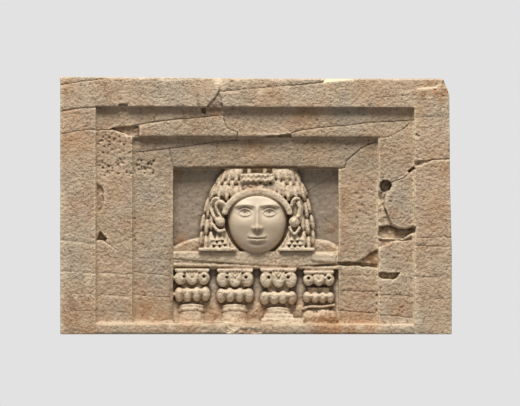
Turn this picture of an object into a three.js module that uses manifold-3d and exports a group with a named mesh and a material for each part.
// A carved ivory plaque: a wigged head looks out of a stepped window, over a sill on four small columns.
// Millimetres, +Z up. The carved side looks to -Y. The back is flat, in y = 0, with the origin in its middle.
import * as THREE from "three";
import { mergeVertices } from "three/addons/utils/BufferGeometryUtils.js";
import Module from "manifold-3d";

// Slab
const PLAQUE_WIDTH = 125;
const PLAQUE_HEIGHT = 82.2;
const THICKNESS = 13;
const TOP_FALL = 0.6; // the upper edge is this much lower at its right end
const SIDE_LEAN = 0.8; // the right edge leans in by this much at its top
const CORNER_LOSS = { width: 2, height: 5 }; // broken off at the upper right
const CRACK = { width: 0.3, depth: 0.9 };

// Stepped frame, from the outside in: widths of the uprights, heights of the top bars, depths of the steps
const UPRIGHTS = [11.6, 11.5, 12.8];
const TOP_BARS = [9.4, 9.8, 10.1];
const STEPS = [2.2, 2.2, 4.5];
const FRAME_SHIFT = -0.2; // the window sits this far from the middle of the slab
const BAR_FALL = [0.5, 0.3, 0]; // each bar's lower edge falls this much to the right
const LEDGE_HEIGHT = 3.7;
const LEDGE_FALL = 0.5;
const ARRIS = 0.8; // worn bevel on the ledge and on the lower edge of each bar

// Head
const HEAD_X = 0.4;
const HEAD_HEIGHT = 26.6; // crown to chin
const CHIN_BELOW_SILL_TOP = 0.8;
const FACE_WIDTH = 19.6;
const FACE_RELIEF = 7.2; // from the window's ground to the front of the cheeks
const WIG_WIDTH = 37.2;
const WIG_RISE = 29.8; // from the widest place to the crown, which the bar hides
const WIG_RELIEF = 5;
const LAPPET_HEIGHT = 1.9; // straight part below the widest place
const LAPPET_SPREAD = 12; // from the middle of the face to the inner end of a lappet's hem, doubled
const HEM = { height: 0.9, relief: 4.7 };
const LOCK_WIDTH = 1.85;
const LOCK_LENGTH = 4.8;
const BAND_WIDTH = 1.9; // plain band of the fringe over the forehead
const FRONTLET = { width: 10.7, height: 2.4, up: 23.1, relief: 7.4, under: 2 }; // under: its plain part
const EAR = { out: 12, up: 13.1, lobe: 1.6, rim: 0.52, clear: 2.2, tall: 7 }; // clear, tall: space for it
const SHOULDER = { relief: 2.6, left: 9, right: 8, rise: 4.4, outer: 2 }; // left, right: reach inwards

// Sill and columns
const SILL_BELOW_WINDOW_TOP = 26.5;
const SILL_HEIGHT = 4.6;
const SILL_RELIEF = 4;
const SILL_LEVELS_AT = 0.554; // the lower edge falls up to this share of the window's width
const SILL_UNDER = 0.9; // how far the part under the board shows below it and lies back from it
// Round mouldings: start and end as shares of the window's width, height over the lower edge, radius
const SILL_RODS = [
  [0, 0.086, 1.5, 0.385],
  [0, 0.45, 0.1, 0.55],
  [0.715, 0.887, -0.1, 0.55],
  [0.884, 1, -0.3, 0.55],
];
const SILL_PATCH = { width: 7.9, height: 3.2, from_end: 0.5, from_top: 0.2, proud: 0.7 };
const COLUMN_PLACES = [-19.8, -6.9, 7.1, 19.9];
const ABACUS = { width: 11.8, height: 1.05, relief: 4.6 };
const VOLUTE = { radius: 2.25, apart: 6.2, hole: 0.55, relief: 5.2 };
const PETALS = { count: 4, width: 11.2, height: 4.5, relief: 5.4 };
const NECK = { radius: 4, height: 1.05, relief: 4.8 };
const SHAFT = { top: 4.1, foot: 4.7 };
const COLUMN_GAP = 0.35; // between one member of a column and the next

// Derived places. A height of relief is measured from the back towards the viewer.
const LEFT = -PLAQUE_WIDTH / 2;
const TOP = PLAQUE_HEIGHT / 2;
const BOTTOM = -PLAQUE_HEIGHT / 2;
const LEVELS = STEPS.reduce((list, step) => [...list, list.at(-1) - step], [THICKNESS]);
const GROUND = LEVELS.at(-1);
const LEDGE_TOP = BOTTOM + LEDGE_HEIGHT;
const sumTo = (list, k) => list.slice(0, k + 1).reduce((a, b) => a + b, 0);
const frameLeft = (k) => LEFT + sumTo(UPRIGHTS, k) + FRAME_SHIFT;
const frameRight = (k) => -LEFT - sumTo(UPRIGHTS, k) + FRAME_SHIFT;
const frameTop = (k) => TOP - sumTo(TOP_BARS, k);
const WINDOW_TOP = frameTop(2);
const SILL_TOP = WINDOW_TOP - SILL_BELOW_WINDOW_TOP;
const SILL_BOTTOM = SILL_TOP - SILL_HEIGHT;
const CHIN = SILL_TOP - CHIN_BELOW_SILL_TOP;
const WIG_MIDDLE = SILL_TOP + LAPPET_HEIGHT;
const OVER = 3; // how far a cut runs past the surface that it opens

const wasm = await Module();
wasm.setup();

// A closed three.js geometry as a solid for joining and cutting
function solidOf(geometry) {
  const bare = geometry.index ? geometry.toNonIndexed() : geometry.clone();
  bare.deleteAttribute("normal");
  bare.deleteAttribute("uv");
  const merged = mergeVertices(bare, 1e-4);
  const vertProperties = merged.attributes.position.array;
  const triVerts = new Uint32Array(merged.index.array);
  return new wasm.Manifold(new wasm.Mesh({ numProp: 3, vertProperties, triVerts }));
}

function geometryOf(solid) {
  const mesh = solid.getMesh();
  const geometry = new THREE.BufferGeometry();
  geometry.setAttribute("position", new THREE.BufferAttribute(mesh.vertProperties, 3));
  geometry.setIndex(new THREE.BufferAttribute(mesh.triVerts, 1));
  geometry.computeVertexNormals();
  return geometry;
}

const joined = (solids) => solids.reduce((all, next) => all.add(next));

// A flat form with its outline in x and z, from one height of relief to another
function slab(outline, low, high) {
  const shape = new THREE.Shape(outline.map(([x, z]) => new THREE.Vector2(x, z)));
  const geometry = new THREE.ExtrudeGeometry(shape, { depth: high - low, bevelEnabled: false });
  geometry.rotateX(Math.PI / 2);
  geometry.translate(0, -low, 0);
  return solidOf(geometry);
}

const rectangle = (x0, x1, z0, z1) => [
  [x0, z0],
  [x1, z0],
  [x1, z1],
  [x0, z1],
];

// A rod along x, for an edge that is bevelled or a small round moulding
function rod(x0, x1, z, relief, radius, sides) {
  const geometry = new THREE.CylinderGeometry(radius, radius, x1 - x0, sides);
  geometry.rotateZ(Math.PI / 2);
  geometry.translate((x0 + x1) / 2, -relief, z);
  return solidOf(geometry);
}

// An egg with half axes a (x), b (y) and c (z), leant about x, turned about y and set at a place
function egg(a, b, c, x, relief, z, turn = 0, sides = 8, rings = 6, lean = 0) {
  const geometry = new THREE.SphereGeometry(1, sides, rings);
  geometry.rotateX(Math.PI / 2);
  geometry.scale(a, b, c);
  geometry.rotateX(lean);
  geometry.rotateY(turn);
  geometry.translate(x, -relief, z);
  return solidOf(geometry);
}

// A round cord of carving through the places [x, relief, z]
function roll(places, radius, steps, sides = 5) {
  const path = new THREE.CatmullRomCurve3(places.map(([x, h, z]) => new THREE.Vector3(x, -h, z)));
  const ring = Array.from({ length: sides }, (_, i) => {
    const angle = (2 * Math.PI * i) / sides;
    return new THREE.Vector2(radius * Math.cos(angle), radius * Math.sin(angle));
  });
  const shape = new THREE.Shape(ring);
  return solidOf(new THREE.ExtrudeGeometry(shape, { steps, extrudePath: path, bevelEnabled: false }));
}

// Places of damage are in hundredths of the slab's width from its left and of its height from its top.
const spot = ([across, down]) => [LEFT + (across / 100) * PLAQUE_WIDTH, TOP - (down / 100) * PLAQUE_HEIGHT];

// Losses: what has broken out of the frame, as its level, its depth in hundredths of the thickness and
// its outline
const LOSSES = [
  [0, 14, [[40.5, 5.8], [41.3, 7.8], [41.6, 12.8], [37, 12.8], [36.9, 11.8], [39.7, 7.7]]],
  [0, 11, [[67.2, 2.3], [73.5, 1.2], [75.3, -1], [67.1, -1]]],
  [0, 14, [[91.1, 6.9], [95.6, 5.4], [97.5, 3.8], [101, 7], [101, 1], [97, 3.3], [91.5, 4.8]]],
  [0, 4, [[90, 35], [94.9, 32.6], [101, 32.2], [101, 31.6], [90, 33]]],
  [0, 8, [[42.5, 96.6], [43.6, 99], [46.1, 97.7], [51.5, 97.9], [51.5, 102], [42.5, 102]]],
  [1, 12, [[12.3, 20.4], [20, 19.1], [20, 24], [18.6, 23.4]]],
  [1, 16, [[52.3, 23.3], [58.8, 22.2], [59.1, 25], [52.3, 25]]],
  [1, 16, [[81, 41.6], [83, 40], [84.9, 41.1], [82.9, 46.6], [81, 46.6]]],
  [1, 9, [[81, 46.5], [82.9, 46.5], [83.9, 54.6], [84.9, 58], [81, 58]]],
  [1, 23, [[81, 58.2], [90.6, 58.2], [90.6, 60.6], [87.9, 63], [81, 62.3]]],
  [1, 16, [[81, 76], [86.9, 76], [85.9, 78.3], [82.3, 78.6], [81, 77.4]]],
  [1, 15, [[9, 63.2], [10.1, 59.9], [11.9, 62.6], [11.4, 64]]],
  [1, 7, [[9, 41.8], [10.6, 45], [11.1, 48], [10.3, 51.5], [9, 52.5]]],
  [2, 19, [[70, 71.8], [76.1, 71.8], [81.2, 67.8], [81.2, 74.5], [70, 73.3]]],
];

// Cracks, each on one level of the frame or on the window's ground
const CRACKS = [
  [0, [[0, 3.3], [5, 1.9], [11.3, 0.8]]],
  [0, [[0, 13.5], [6.3, 12], [9.4, 11.9]]],
  [0, [[0, 22.3], [3.7, 21.2], [9.4, 20.6]]],
  [0, [[40.4, 5.8], [51.5, 4.3], [67.2, 2.3]]],
  [0, [[90.5, 62.5], [97.3, 62.4], [97.8, 61.5], [100, 62.4]]],
  [0, [[0, 63.3], [5, 64], [9.4, 65.3]]],
  [1, [[9, 20.8], [12.3, 20.4]]],
  [1, [[20, 18.7], [33.1, 16.1], [42, 14.8]]],
  [1, [[41.9, 14.8], [41.7, 16.6], [42.5, 19.8], [45.4, 21.6]]],
  [1, [[58.8, 22.2], [59.9, 21.3], [72.6, 19], [90.6, 16.8]]],
  [1, [[81, 23.8], [83.9, 23.3], [86, 21], [90.6, 16.9]]],
  [1, [[11.5, 63.8], [14.1, 67.1], [18.4, 67.5]]],
  [2, [[18, 29.6], [27.4, 27.9], [46.6, 24.4]]],
  [2, [[27.8, 28], [28.1, 30.5], [28.9, 36]]],
  [2, [[81.3, 24.8], [77.1, 27.5], [74.3, 31.1], [72.6, 36]]],
  [2, [[18, 75.8], [28.6, 77.7]]],
  [3, [[71.3, 36.5], [66.1, 41.8], [62.5, 45]]],
];

// A crack's ribbon follows its points, is thin at both ends, and is cut down from its level.
function crack(level, points) {
  const line = points.map(spot);
  const sides = line.map(([x, z], i) => {
    const before = line[Math.max(i - 1, 0)];
    const after = line[Math.min(i + 1, line.length - 1)];
    const run = new THREE.Vector2(after[0] - before[0], after[1] - before[1]).normalize();
    const end = i === 0 || i === line.length - 1 ? 0.4 : 1;
    const half = (CRACK.width * end) / 2;
    return [
      [x + run.y * half, z - run.x * half],
      [x - run.y * half, z + run.x * half],
    ];
  });
  const outline = [...sides.map((s) => s[0]), ...sides.map((s) => s[1]).reverse()];
  return slab(outline, LEVELS[level] - CRACK.depth, LEVELS[level] + (STEPS[level - 1] ?? OVER) - 0.1);
}

function broken(body) {
  const losses = LOSSES.map(([level, depth, outline]) =>
    slab(outline.map(spot), LEVELS[level] - (depth / 100) * THICKNESS, THICKNESS + OVER),
  );
  const cracks = CRACKS.map(([level, points]) => crack(level, points));
  return body.subtract(joined([...losses, ...cracks]));
}

// Slab with its stepped window
function frame() {
  const rightTop = -LEFT - SIDE_LEAN;
  const outline = [
    [LEFT, BOTTOM],
    [-LEFT, BOTTOM],
    [rightTop, TOP - TOP_FALL - CORNER_LOSS.height],
    [rightTop - 0.4, TOP - TOP_FALL - CORNER_LOSS.height + 1],
    [rightTop - CORNER_LOSS.width, TOP - TOP_FALL],
    [LEFT, TOP],
  ];
  let body = slab(outline, 0, THICKNESS);
  STEPS.forEach((_, k) => {
    const opening = [
      [frameLeft(k), LEDGE_TOP],
      [frameRight(k), LEDGE_TOP - LEDGE_FALL],
      [frameRight(k), frameTop(k) - BAR_FALL[k]],
      [frameLeft(k), frameTop(k)],
    ];
    body = body.subtract(slab(opening, LEVELS[k + 1], THICKNESS + OVER));
    body = body.subtract(bevel(frameLeft(k), frameRight(k), frameTop(k), BAR_FALL[k], LEVELS[k]));
  });
  body = body.subtract(bevel(frameLeft(0), frameRight(0), LEDGE_TOP, LEDGE_FALL, THICKNESS));
  return broken(body);
}

// The worn arris along a horizontal edge: a four-sided rod that takes the edge off
function bevel(x0, x1, z, fall, level) {
  const geometry = new THREE.CylinderGeometry(ARRIS, ARRIS, x1 - x0, 4);
  geometry.rotateZ(Math.PI / 2);
  const slope = new THREE.Matrix4().makeShear(0, -fall / (x1 - x0), 0, 0, 0, 0);
  geometry.applyMatrix4(slope);
  geometry.translate((x0 + x1) / 2, -level, z - fall / 2);
  return solidOf(geometry);
}

// Half width of the wig at a height
function wigHalf(z) {
  const rise = Math.max(0, (z - WIG_MIDDLE) / WIG_RISE);
  return (WIG_WIDTH / 2) * Math.sqrt(Math.max(0, 1 - rise * rise));
}

// Relief of the wig's round surface, which runs straight down over its lappets
function wigRelief(x, z) {
  const up = Math.max(0, (z - WIG_MIDDLE) / WIG_RISE);
  const across = (x - HEAD_X) / (WIG_WIDTH / 2);
  const rim = Math.hypot(across, up);
  return GROUND + WIG_RELIEF * Math.sqrt(Math.max(0.04, 1 - rim ** 5));
}

// A dome on a flat back: rings of places about a middle, at the heights that `relief` gives.
// reach(angle) gives the last ring's offset from the middle as [x, z]. The ring before it, from which the
// dome drops to its back, lies at the share `brink` of that reach.
function dome(x, z, reach, relief, rings, spokes, brink) {
  const places = [];
  for (let ring = 0; ring <= rings; ring++) {
    const even = ring / (rings - 1);
    const share = ring < rings ? (brink * (even + Math.sin((Math.PI / 2) * even))) / 2 : 1;
    for (let spoke = 0; spoke < spokes; spoke++) {
      const [outX, outZ] = reach((2 * Math.PI * spoke) / spokes);
      const at = [x + outX * share, z + outZ * share];
      places.push(at[0], ring === rings ? -(GROUND - 0.5) : -relief(...at), at[1]);
    }
  }
  const back = places.length / 3;
  places.push(x, -(GROUND - 0.5), z);
  const faces = [];
  for (let spoke = 0; spoke < spokes; spoke++) {
    const next = (spoke + 1) % spokes;
    for (let ring = 0; ring < rings; ring++) {
      const a = ring * spokes + spoke;
      const b = ring * spokes + next;
      if (ring > 0) faces.push(a, a + spokes, b);
      faces.push(b, a + spokes, b + spokes);
    }
    faces.push(rings * spokes + spoke, back, rings * spokes + next);
  }
  const geometry = new THREE.BufferGeometry();
  geometry.setAttribute("position", new THREE.Float32BufferAttribute(places, 3));
  geometry.setIndex(faces);
  return solidOf(geometry);
}

// The wig under its locks: a round cap cut flat at the bar above and at the ends of its lappets below
function wigBody() {
  const half = WIG_WIDTH / 2;
  const reach = (angle) => {
    const down = Math.sin(angle) < 0 ? 0.2 : 1;
    return [half * Math.cos(angle), WIG_RISE * down * Math.sin(angle)];
  };
  const brink = 1 - LOCK_WIDTH / 2 / half; // the cap stays high under the outer line of locks
  const cap = dome(HEAD_X, WIG_MIDDLE, reach, wigRelief, 4, 18, brink);
  const under = rectangle(HEAD_X - half, HEAD_X + half, SILL_TOP, WIG_MIDDLE);
  const skirt = slab(under, GROUND - 1, GROUND + WIG_RELIEF * 0.68);
  const hems = [-1, 1].map((side) => {
    const ends = [HEAD_X + (side * LAPPET_SPREAD) / 2, HEAD_X + side * half].sort((a, b) => a - b);
    return slab(rectangle(...ends, SILL_TOP, SILL_TOP + HEM.height), GROUND - 1, GROUND + HEM.relief);
  });
  const keep = slab(rectangle(-WIG_WIDTH, WIG_WIDTH, SILL_TOP, WINDOW_TOP), GROUND - 1, THICKNESS);
  const crown = wigHalf(WINDOW_TOP) + LOCK_WIDTH / 2; // the wig runs on in under the bar
  const crossing = rectangle(HEAD_X - crown, HEAD_X + crown, WINDOW_TOP - ARRIS / 2, WINDOW_TOP + ARRIS / 2);
  const underBar = slab(crossing, GROUND - 1, LEVELS[2] - ARRIS);
  return joined([joined([cap, skirt, ...hems]).intersect(keep), underBar]);
}

// True where the face, its band, an ear or the frontlet takes the place of a lock
function lockIsHidden(x, z) {
  const dx = x - HEAD_X;
  const t = (z - CHIN) / HEAD_HEIGHT;
  const face = Math.hypot(dx / (FACE_WIDTH / 2 + BAND_WIDTH), (t - 0.4) / 0.42) < 1;
  const ear = Math.hypot((Math.abs(dx) - EAR.out) / EAR.clear, (z - CHIN - EAR.up) / EAR.tall) < 1;
  const plainFrom = CHIN + FRONTLET.up - FRONTLET.under;
  const frontlet = Math.abs(dx) < FRONTLET.width / 2 + LOCK_WIDTH / 4 && z > plainFrom;
  return face || ear || frontlet;
}

// Where a line of locks runs: the outer lines bend with the wig's outline, the inner ones hang straight
function lockLine(share, z) {
  const half = WIG_WIDTH / 2;
  return HEAD_X + share * half * (wigHalf(z) / half) ** (share * share);
}

// Locks: spindles in staggered tiers, on lines that follow the wig's outline
function locks() {
  const lines = Math.floor(WIG_WIDTH / 2 / LOCK_WIDTH) - 1;
  const made = [];
  for (const side of [-1, 1]) {
    for (let line = 0; line < lines; line++) {
      const share = 1 - ((line + 0.42) * LOCK_WIDTH) / (WIG_WIDTH / 2);
      let z = SILL_TOP + LOCK_LENGTH * (line % 2 ? 0.28 : 0.55);
      while (z < WINDOW_TOP + LOCK_LENGTH / 4) {
        const x = lockLine(side * share, z);
        const next = lockLine(side * share, z + 0.5);
        const turn = -Math.atan2(next - x, 0.5);
        if (!lockIsHidden(x, z)) {
          const relief = wigRelief(x, z) - 0.5;
          made.push(egg(LOCK_WIDTH * 0.49, 1.4, LOCK_LENGTH * 0.5, x, relief, z, -turn, 5, 3));
        }
        z += LOCK_LENGTH * Math.cos(turn);
      }
    }
  }
  const keep = slab(rectangle(-WIG_WIDTH, WIG_WIDTH, SILL_TOP, WINDOW_TOP), GROUND - 1, THICKNESS);
  return joined(made).intersect(keep);
}

// Relief of the face over the window's ground. t runs from 0 at the chin to 1 at the crown.
// The places are the common shares of a head: eyes half way up, brow, nose and chin a third apart.
function faceRelief(dx, t) {
  const half = FACE_WIDTH / 2;
  const eye = FACE_WIDTH / 5;
  const hump = (u, width) => Math.exp(-((u / width) ** 2));
  const rim = Math.min(1, (Math.abs(dx / half) ** 2.4 + Math.abs((t - 0.5) / 0.5) ** 2.4) ** (1 / 2.4));
  const round = FACE_RELIEF * (0.55 * Math.sqrt(1 - rim ** 2) + 0.45 * (1 - rim ** 6) ** 0.35);
  const nose = 0.4 * hump(dx, 1.6) * hump(t - 0.38, 0.09);
  const sockets = -0.75 * hump(Math.abs(dx) - eye, eye * 0.62) * hump(t - 0.505, 0.07);
  const cheeks = 0.35 * hump(Math.abs(dx) - eye * 1.1, 2.4) * hump(t - 0.33, 0.1);
  const muzzle = 0.75 * hump(dx, 3.2) * hump(t - 0.2, 0.09);
  const chin = 0.55 * hump(dx, 2.2) * hump(t - 0.075, 0.055);
  const fold = -0.35 * hump(dx, 2.4) * hump(t - 0.13, 0.025);
  return GROUND + round + (nose + sockets + cheeks + muzzle + chin + fold) * (1 - rim ** 6);
}

// The face, which stands free of the wig round its cheeks and is cut off under the fringe
function face() {
  const middle = 0.4;
  const reach = (angle) => {
    const up = Math.sin(angle) > 0 ? 1 - middle : middle;
    const across = Math.sign(Math.cos(angle)) * Math.abs(Math.cos(angle)) ** 0.9;
    return [(FACE_WIDTH / 2) * across, up * HEAD_HEIGHT * Math.sin(angle)];
  };
  const relief = (x, z) => faceRelief(x - HEAD_X, (z - CHIN) / HEAD_HEIGHT);
  const whole = dome(HEAD_X, CHIN + middle * HEAD_HEIGHT, reach, relief, 9, 30, 0.94);
  const keep = slab(rectangle(-WIG_WIDTH, WIG_WIDTH, CHIN - 1, CHIN + 0.79 * HEAD_HEIGHT), 0, THICKNESS);
  return whole.intersect(keep);
}

// Eyes, lids, brows and lips, each a small form laid on the face
function features() {
  const eye = FACE_WIDTH / 5;
  const on = (dx, t, lift) => [HEAD_X + dx, faceRelief(dx, t) + lift, CHIN + t * HEAD_HEIGHT];
  const made = [];
  for (const side of [-1, 1]) {
    const middle = side * eye;
    const [x, relief, z] = on(middle, 0.5, -0.15);
    made.push(egg(eye * 0.42, 0.55, eye * 0.24, x, relief, z, 0, 8, 4));
    const lid = (rise) =>
      [-1, -0.5, 0, 0.5, 1].map((u) => on(middle + u * eye * 0.5, 0.5 + rise * (1 - u * u), 0.08));
    made.push(roll(lid(0.042), 0.24, 5, 4));
    made.push(roll(lid(-0.033), 0.2, 5, 4));
    const brow = [-0.75, -0.3, 0.2, 0.7].map((u) => on(middle + side * u * eye, 0.585 - 0.03 * u * u, 0));
    made.push(roll(brow, 0.28, 4, 4));
  }
  const noseLength = 0.29 * HEAD_HEIGHT;
  const [noseX, noseRelief, noseZ] = on(0, 0.42, -0.3);
  made.push(egg(eye * 0.31, 1.15, noseLength * 0.54, noseX, noseRelief, noseZ, 0, 8, 5, -0.2));
  for (const side of [-1, 1]) {
    made.push(egg(eye * 0.22, 0.9, eye * 0.2, ...on(side * eye * 0.27, 0.31, 0.1), 0, 6, 3));
  }
  const lip = (t, bow, reach) =>
    [-1, -0.5, 0, 0.5, 1].map((u) => on(u * reach, t + bow * (1 - u * u), -0.05));
  made.push(roll(lip(0.197, 0.014, eye * 0.68), 0.38, 6, 4));
  made.push(roll(lip(0.19, -0.024, eye * 0.55), 0.42, 5, 4));
  return joined(made);
}

// The fringe: a plain band that arches over the forehead, and the beaded frontlet above it
function fringe() {
  const arch = (grow) => {
    const points = [];
    for (let i = 0; i <= 10; i++) {
      const angle = Math.PI * (0.1 + (0.8 * i) / 10);
      const a = FACE_WIDTH / 2 + grow;
      const b = 0.33 * HEAD_HEIGHT + grow;
      points.push([HEAD_X + a * Math.cos(angle), CHIN + 0.42 * HEAD_HEIGHT + b * Math.sin(angle)]);
    }
    return points;
  };
  const band = slab([...arch(BAND_WIDTH), ...arch(0).reverse()], GROUND, GROUND + FACE_RELIEF * 0.9);
  const low = CHIN + FRONTLET.up;
  const half = FRONTLET.width / 2;
  const made = [band];
  made.push(
    slab(
      rectangle(HEAD_X - half, HEAD_X + half, low, low + FRONTLET.height),
      GROUND,
      GROUND + FRONTLET.relief,
    ),
  );
  made.push(
    slab(
      rectangle(HEAD_X - half * 0.9, HEAD_X + half * 0.9, low - FRONTLET.under, low + 0.2),
      GROUND,
      GROUND + FRONTLET.relief * 0.94,
    ),
  );
  return joined(made);
}

// One ear: a curled rim, an inner fold, a ball lobe and the crescent that hangs below it
function ear(side) {
  const x = (out) => HEAD_X + side * (EAR.out + out);
  const z = (up) => CHIN + EAR.up + up;
  const on = (out, up, lift) => [x(out), wigRelief(x(out), z(up)) + lift, z(up)];
  const rim = [
    on(-1.1, 2.6, 0.3),
    on(-0.2, 4, 0.8),
    on(1.3, 3.4, 0.8),
    on(1.9, 1.2, 0.6),
    on(1.4, -1.4, 0.4),
    on(0.6, -3.2, 0.3),
  ];
  const fold = [on(0.3, 2.2, 0.3), on(0.7, 0.4, 0.3), on(0.1, -2.6, 0.3)];
  const crescent = [on(1.8, -6.6, 0.2), on(0.6, -8.1, 0.3), on(-1, -8, 0.3), on(-1.9, -6.8, 0.2)];
  const lobe = on(-0.2, -4.9, 0.3);
  return joined([
    roll(rim, EAR.rim, 6, 4),
    roll(fold, EAR.rim, 3, 4),
    roll(crescent, EAR.rim * 0.85, 4, 4),
    egg(EAR.lobe, EAR.lobe, EAR.lobe, ...lobe),
  ]);
}

// Shoulders: low sloping forms at either side, from the window's uprights in behind the wig
function shoulders() {
  const one = (start, side, reach) => [
    [start, SILL_TOP],
    [start, SILL_TOP + SHOULDER.outer],
    [start + side * reach * 0.4, SILL_TOP + SHOULDER.rise * 0.8],
    [start + side * reach * 0.9, SILL_TOP + SHOULDER.rise],
    [start + side * reach, SILL_TOP],
  ];
  const left = one(frameLeft(2), 1, SHOULDER.left);
  const right = one(frameRight(2), -1, SHOULDER.right).reverse();
  const high = GROUND + SHOULDER.relief;
  return joined([slab(left, GROUND - 1, high), slab(right, GROUND - 1, high)]);
}

// Sill: a plain board whose lower edge falls to the right, over broken round mouldings
function sill() {
  const x0 = frameLeft(2);
  const x1 = frameRight(2);
  const across = (share) => x0 + share * (x1 - x0);
  const high = GROUND + SILL_RELIEF;
  const board = [
    [x0, SILL_TOP],
    [x0, SILL_TOP - SILL_HEIGHT / 2],
    [across(SILL_LEVELS_AT), SILL_BOTTOM],
    [x1, SILL_BOTTOM],
    [x1, SILL_TOP],
  ];
  const under = rectangle(x0, x1, SILL_BOTTOM - SILL_UNDER, SILL_TOP - SILL_UNDER);
  const patchEnd = x1 - SILL_PATCH.from_end;
  const patchTop = SILL_TOP - SILL_PATCH.from_top;
  const patch = rectangle(patchEnd - SILL_PATCH.width, patchEnd, patchTop - SILL_PATCH.height, patchTop);
  return joined([
    slab(board, GROUND - 1, high),
    slab(under, GROUND - 1, high - SILL_UNDER),
    slab(patch, GROUND, high + SILL_PATCH.proud),
    ...SILL_RODS.map(([from, to, up, radius]) =>
      rod(across(from), across(to), SILL_BOTTOM + up, high - SILL_UNDER, radius, 6),
    ),
  ]);
}

// One column: abacus, leaf between drilled volutes, drooping petals, two neck rings and a short shaft
function column(x) {
  const made = [];
  const halfAbacus = ABACUS.width / 2;
  const abacusTop = SILL_BOTTOM - SILL_UNDER;
  const abacusBottom = abacusTop - ABACUS.height;
  const middle = abacusBottom - COLUMN_GAP / 2 - VOLUTE.radius;
  const petalTop = middle - VOLUTE.radius - COLUMN_GAP;
  const petalBottom = petalTop - PETALS.height;
  const petalMiddle = (petalTop + petalBottom) / 2;
  const neckTop = petalBottom - COLUMN_GAP;
  const shaftTop = neckTop - 2 * NECK.height;
  made.push(
    slab(
      rectangle(x - halfAbacus, x + halfAbacus, abacusBottom, abacusTop + 0.1),
      GROUND - 1,
      GROUND + ABACUS.relief,
    ),
  );
  const bead = (width, depth, height, off, relief, z, sides = 8) =>
    made.push(egg(width / 2, depth, height / 2, x + off, GROUND + relief - depth, z, 0, sides, sides - 3));
  const ball = 2 * VOLUTE.radius;
  bead(ball, 3.2, ball, -VOLUTE.apart / 2 - 0.5, VOLUTE.relief, middle);
  bead(ball, 3.2, ball, VOLUTE.apart / 2 + 0.5, VOLUTE.relief, middle);
  bead(ball, 3.2, ball, 0, VOLUTE.relief + 0.3, middle);
  const petalStep = PETALS.width / PETALS.count;
  for (let i = 0; i < PETALS.count; i++) {
    const off = (i - (PETALS.count - 1) / 2) * petalStep;
    bead(petalStep * 1.12, 3, PETALS.height, off, PETALS.relief - 0.12 * Math.abs(off), petalMiddle, 7);
  }
  const halfCrown = PETALS.width / 2 - 0.6;
  const crown = rectangle(x - halfCrown, x + halfCrown, petalMiddle - 0.3, petalTop - 0.7);
  made.push(slab(crown, GROUND - 1, GROUND + PETALS.relief - 1.9));
  [0, 1].forEach((ring) => {
    const radius = NECK.radius + 0.25 * ring;
    made.push(drum(x, neckTop - (ring + 0.5) * NECK.height, NECK.height * 0.84, radius, radius));
  });
  const shaftHeight = shaftTop - LEDGE_TOP + 0.4;
  made.push(drum(x, shaftTop - shaftHeight / 2, shaftHeight, SHAFT.top, SHAFT.foot));
  let whole = joined(made);
  for (const side of [-1, 1]) {
    const hole = new THREE.CylinderGeometry(VOLUTE.hole, VOLUTE.hole, 2 * OVER, 6);
    hole.translate(x + (side * VOLUTE.apart) / 2, -(GROUND + VOLUTE.relief - 1.4 + OVER), middle);
    whole = whole.subtract(solidOf(hole));
  }
  const notch = [
    [x - 1.3, middle + VOLUTE.radius + 0.5],
    [x, middle - 0.2],
    [x + 1.3, middle + VOLUTE.radius + 0.5],
  ];
  return whole.subtract(slab(notch, GROUND + VOLUTE.relief - 0.7, THICKNESS));
}

// A half-sunk drum of a column, wider at one end if its radii differ
function drum(x, z, height, topRadius, footRadius) {
  const geometry = new THREE.CylinderGeometry(topRadius, footRadius, height, 8);
  geometry.rotateX(Math.PI / 2);
  geometry.translate(x, -(GROUND + NECK.relief - NECK.radius), z);
  const keep = slab(rectangle(x - 20, x + 20, BOTTOM, TOP), GROUND - 1, THICKNESS);
  return solidOf(geometry).intersect(keep);
}

const whole = joined([
  frame(),
  shoulders(),
  sill(),
  ...COLUMN_PLACES.map(column),
  wigBody(),
  locks(),
  face(),
  features(),
  fringe(),
  ear(-1),
  ear(1),
]);

const ivory = new THREE.MeshStandardMaterial({ color: 0xc3a887, roughness: 0.62, metalness: 0 });
const plaque = new THREE.Mesh(geometryOf(whole), ivory);
plaque.name = "plaque";

const part = new THREE.Group();
part.add(plaque);
export default part;
